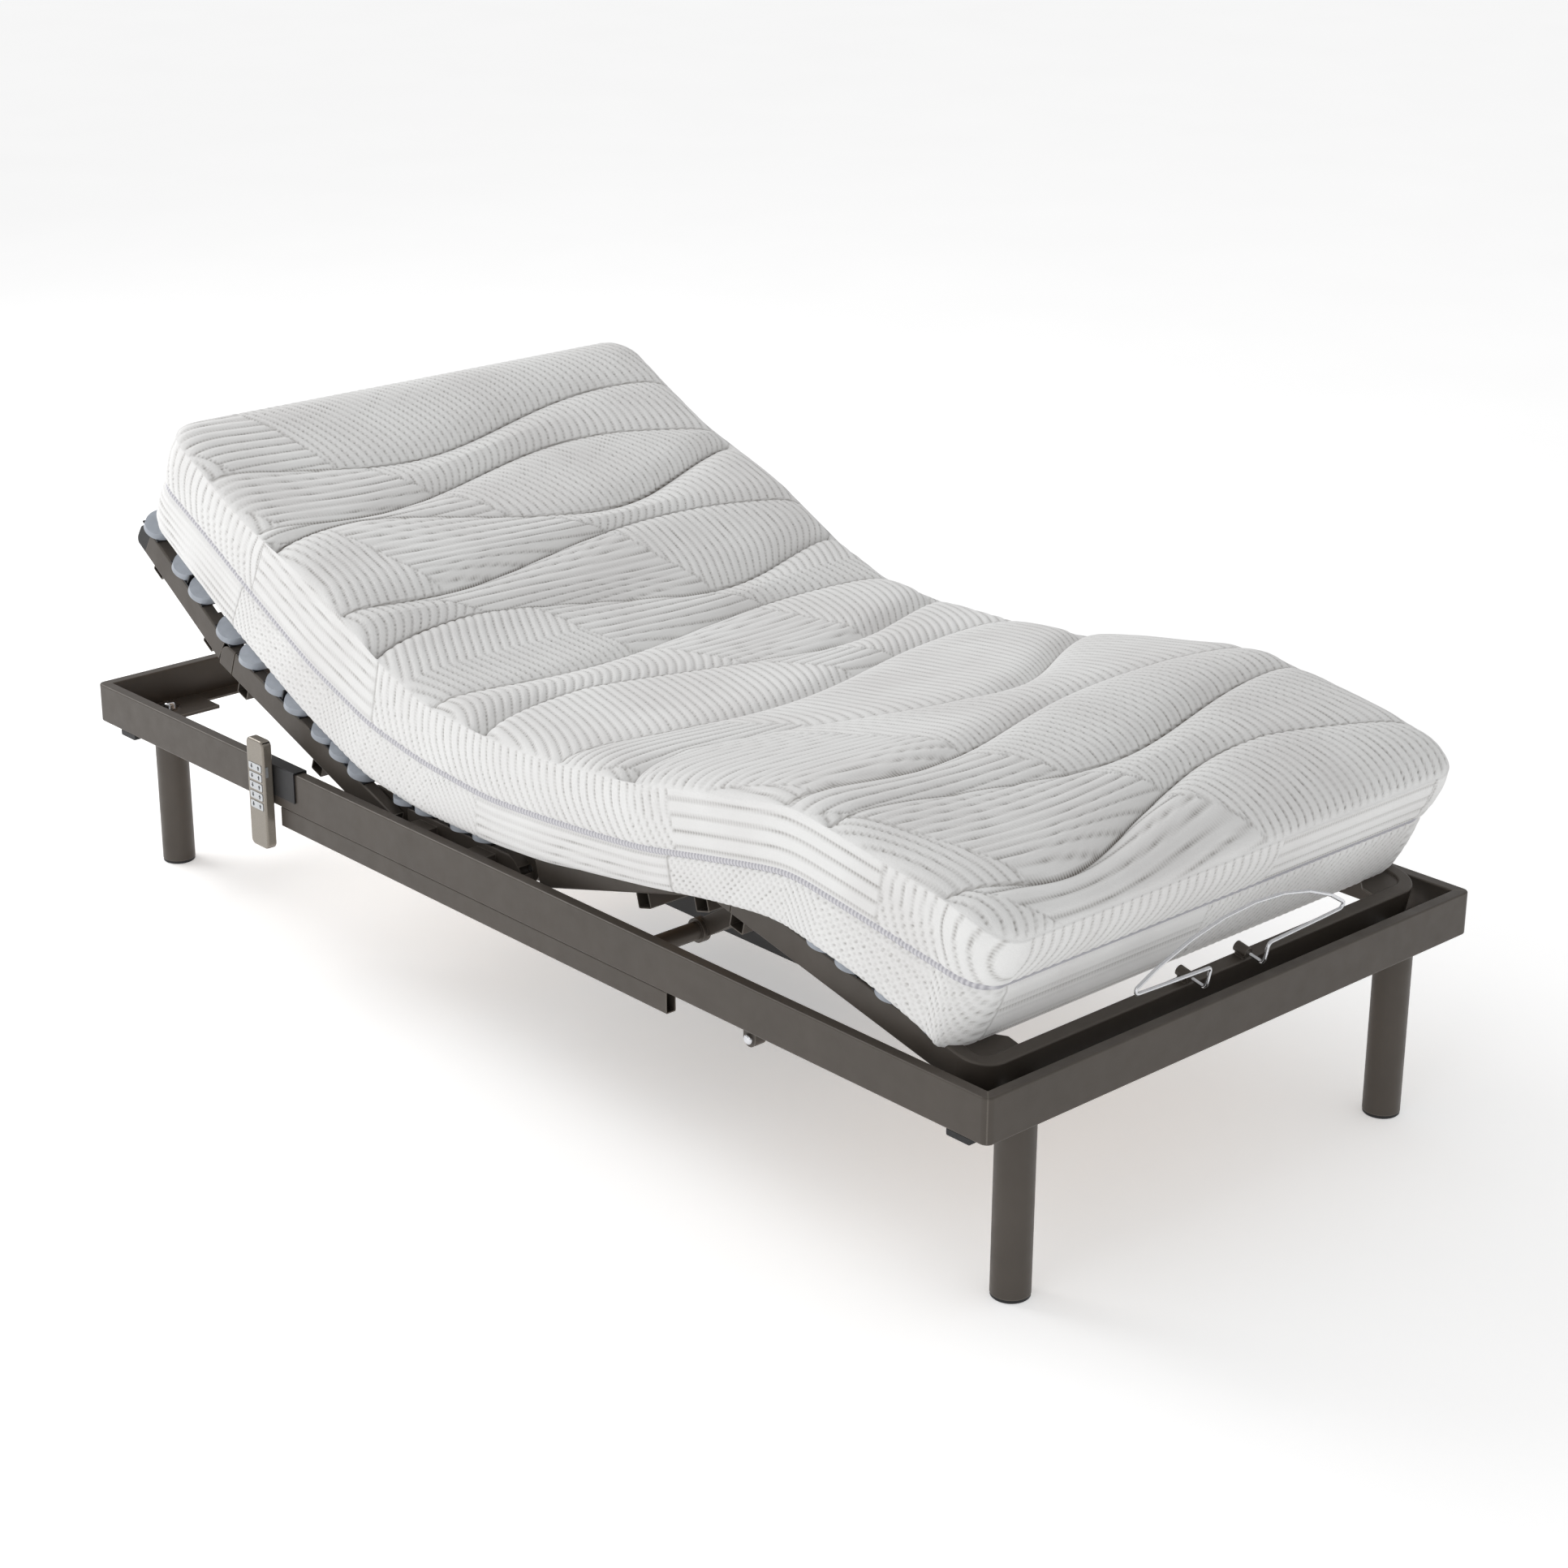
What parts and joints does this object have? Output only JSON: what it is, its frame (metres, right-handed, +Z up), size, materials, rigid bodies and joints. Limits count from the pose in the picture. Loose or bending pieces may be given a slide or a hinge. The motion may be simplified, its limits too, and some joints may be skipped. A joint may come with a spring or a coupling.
{
  "type": "adjustable bed base",
  "caption": "Adjustable single bed: low steel frame on round legs, lifting head, back, thigh and calf sections on sprung slats, wired handset, retainer bow and quilted mattress.",
  "frame": {"origin": "floor level, under the middle of the bed", "axes": "+Z up, +Y towards the head end, +X towards the sleeper's left when lying on the back, sections in the pose shown at rest"},
  "size_m": [0.9194, 1.9047, 0.7443],
  "materials": {
    "anthracite_powder_coat": "satin powder coat",
    "black_plastic": "moulded, matt",
    "chromed_steel": "polished",
    "plain_steel": "turned",
    "drive_housing_metal": "cast",
    "roller_plastic": "machined nylon",
    "beech_plywood": "clear foil",
    "grey_blue_caps": "soft moulded plastic",
    "ivory_knit": "quilted knit cover",
    "champagne_casing": "metallic satin",
    "black_clip": "moulded",
    "silver_keys": "painted silver"
  },
  "bodies": {
    "frame": {"side_rail_left": "anthracite_powder_coat", "side_rail_right": "anthracite_powder_coat", "head_rail": "anthracite_powder_coat", "foot_rail": "anthracite_powder_coat", "corner_plates": "anthracite_powder_coat", "legs": "anthracite_powder_coat", "leg_glides": "black_plastic", "leg_bolts": "chromed_steel", "rail_pads": "black_plastic", "lower_rails": "anthracite_powder_coat", "link_tabs": "anthracite_powder_coat", "link_bolts": "chromed_steel", "seat_frame": "anthracite_powder_coat", "seat_hinge_pins": "plain_steel", "seat_slats": "beech_plywood", "seat_slat_holders": "grey_blue_caps", "mattress_seat": "ivory_knit", "shaft_bearings": "black_plastic", "drive_tray": "black_plastic", "drive_lid": "black_plastic", "drive_motors": "drive_housing_metal", "drive_spindles": "plain_steel"},
    "back": {"back_side_rails": "anthracite_powder_coat", "back_cross_bars": "anthracite_powder_coat", "back_slats": "beech_plywood", "back_slat_holders": "grey_blue_caps", "mattress_back": "ivory_knit"},
    "head": {"head_side_rails": "anthracite_powder_coat", "head_hinge_pins": "plain_steel", "head_end_caps": "black_plastic", "head_cross_bars": "anthracite_powder_coat", "head_slats": "beech_plywood", "head_slat_holders": "grey_blue_caps", "mattress_head": "ivory_knit"},
    "thigh": {"thigh_side_rails": "anthracite_powder_coat", "thigh_cross_bars": "anthracite_powder_coat", "thigh_slats": "beech_plywood", "thigh_slat_holders": "grey_blue_caps", "mattress_thigh": "ivory_knit"},
    "calf": {"calf_frame": "anthracite_powder_coat", "knee_hinge_pins": "plain_steel", "calf_slats": "beech_plywood", "calf_slat_holders": "grey_blue_caps", "retainer_bow": "chromed_steel", "mattress_calf": "ivory_knit"},
    "back_lever": {"back_lift_lever": "anthracite_powder_coat"},
    "back_rollers": {"back_lift_rollers": "roller_plastic"},
    "back_nut": {"back_drive_nut": "roller_plastic"},
    "legs_lever": {"legs_lift_lever": "anthracite_powder_coat"},
    "legs_rollers": {"legs_lift_rollers": "roller_plastic"},
    "legs_nut": {"legs_drive_nut": "roller_plastic"},
    "handset": {"handset_front": "champagne_casing", "handset_back": "champagne_casing", "handset_hook": "black_clip"},
    "rocker_1": {"key_row_1": "silver_keys"},
    "rocker_2": {"key_row_2": "silver_keys"},
    "rocker_3": {"key_row_3": "silver_keys"},
    "rocker_4": {"key_row_4": "silver_keys"},
    "rocker_5": {"key_row_5": "silver_keys"},
    "side_button": {"side_key": "silver_keys"}
  },
  "joints": [
    {"name": "back_lift", "type": "hinge", "parent": "frame", "child": "back", "pos_m": [0, 0.297, 0.289], "axis": [1, 0, 0], "range_deg": [-20.3, 44.7]},
    {"name": "head_tilt", "type": "hinge", "parent": "back", "child": "head", "pos_m": [0, 0.63183, 0.41286], "axis": [1, 0, 0], "range_deg": [-12.7, 12.3]},
    {"name": "thigh_lift", "type": "hinge", "parent": "frame", "child": "thigh", "pos_m": [0, -0.049, 0.289], "axis": [-1, 0, 0], "range_deg": [-15.6, 24.4]},
    {"name": "knee_fold", "type": "hinge", "parent": "thigh", "child": "calf", "pos_m": [0, -0.43089, 0.39563], "axis": [1, 0, 0], "range_deg": [-28.32, 44.3]},
    {"name": "back_lever_turn", "type": "hinge", "parent": "frame", "child": "back_lever", "pos_m": [0, 0.248, 0.229], "axis": [1, 0, 0], "range_deg": [-12.1, 26.7]},
    {"name": "legs_lever_turn", "type": "hinge", "parent": "frame", "child": "legs_lever", "pos_m": [0, -0.247, 0.229], "axis": [-1, 0, 0], "range_deg": [-34.6, 54]},
    {"name": "back_roller_spin", "type": "hinge", "parent": "back_lever", "child": "back_rollers", "pos_m": [0, 0.42466, 0.26353], "axis": [1, 0, 0], "continuous": true},
    {"name": "legs_roller_spin", "type": "hinge", "parent": "legs_lever", "child": "legs_rollers", "pos_m": [0, -0.37244, 0.31125], "axis": [1, 0, 0], "continuous": true},
    {"name": "back_nut_travel", "type": "slide", "parent": "frame", "child": "back_nut", "axis": [0, 1, 0], "range_m": [-0.0136, 0.0299]},
    {"name": "legs_nut_travel", "type": "slide", "parent": "frame", "child": "legs_nut", "axis": [0, -1, 0], "range_m": [-0.0386, 0.0604]},
    {"name": "handset_lift_off", "type": "slide", "parent": "frame", "child": "handset", "axis": [0, 0, 1], "range_m": [0, 0.12]},
    {"name": "rocker_1_tilt", "type": "hinge", "parent": "handset", "child": "rocker_1", "pos_m": [-0.467, 0.488, 0.301], "axis": [0, 0, 1], "range_deg": [-2.5, 2.5], "stiffness_Nm_per_rad": 0.03},
    {"name": "rocker_2_tilt", "type": "hinge", "parent": "handset", "child": "rocker_2", "pos_m": [-0.467, 0.488, 0.2864], "axis": [0, 0, 1], "range_deg": [-2.5, 2.5], "stiffness_Nm_per_rad": 0.03},
    {"name": "rocker_3_tilt", "type": "hinge", "parent": "handset", "child": "rocker_3", "pos_m": [-0.467, 0.488, 0.2718], "axis": [0, 0, 1], "range_deg": [-2.5, 2.5], "stiffness_Nm_per_rad": 0.03},
    {"name": "rocker_4_tilt", "type": "hinge", "parent": "handset", "child": "rocker_4", "pos_m": [-0.467, 0.488, 0.2572], "axis": [0, 0, 1], "range_deg": [-2.5, 2.5], "stiffness_Nm_per_rad": 0.03},
    {"name": "rocker_5_tilt", "type": "hinge", "parent": "handset", "child": "rocker_5", "pos_m": [-0.467, 0.488, 0.2426], "axis": [0, 0, 1], "range_deg": [-2.5, 2.5], "stiffness_Nm_per_rad": 0.03},
    {"name": "side_button_press", "type": "slide", "parent": "handset", "child": "side_button", "axis": [0, 1, 0], "range_m": [0, 0.0006], "stiffness_N_per_m": 300}
  ],
  "couplings": [
    {"joint": "knee_fold", "follows": "thigh_lift", "ratio": 1.815},
    {"joint": "legs_lever_turn", "follows": "thigh_lift", "ratio": 2.21},
    {"joint": "legs_nut_travel", "follows": "thigh_lift", "m_per_rad": 0.14144},
    {"joint": "back_lever_turn", "follows": "back_lift", "ratio": 0.595},
    {"joint": "back_nut_travel", "follows": "back_lift", "m_per_rad": 0.03808}
  ]
}
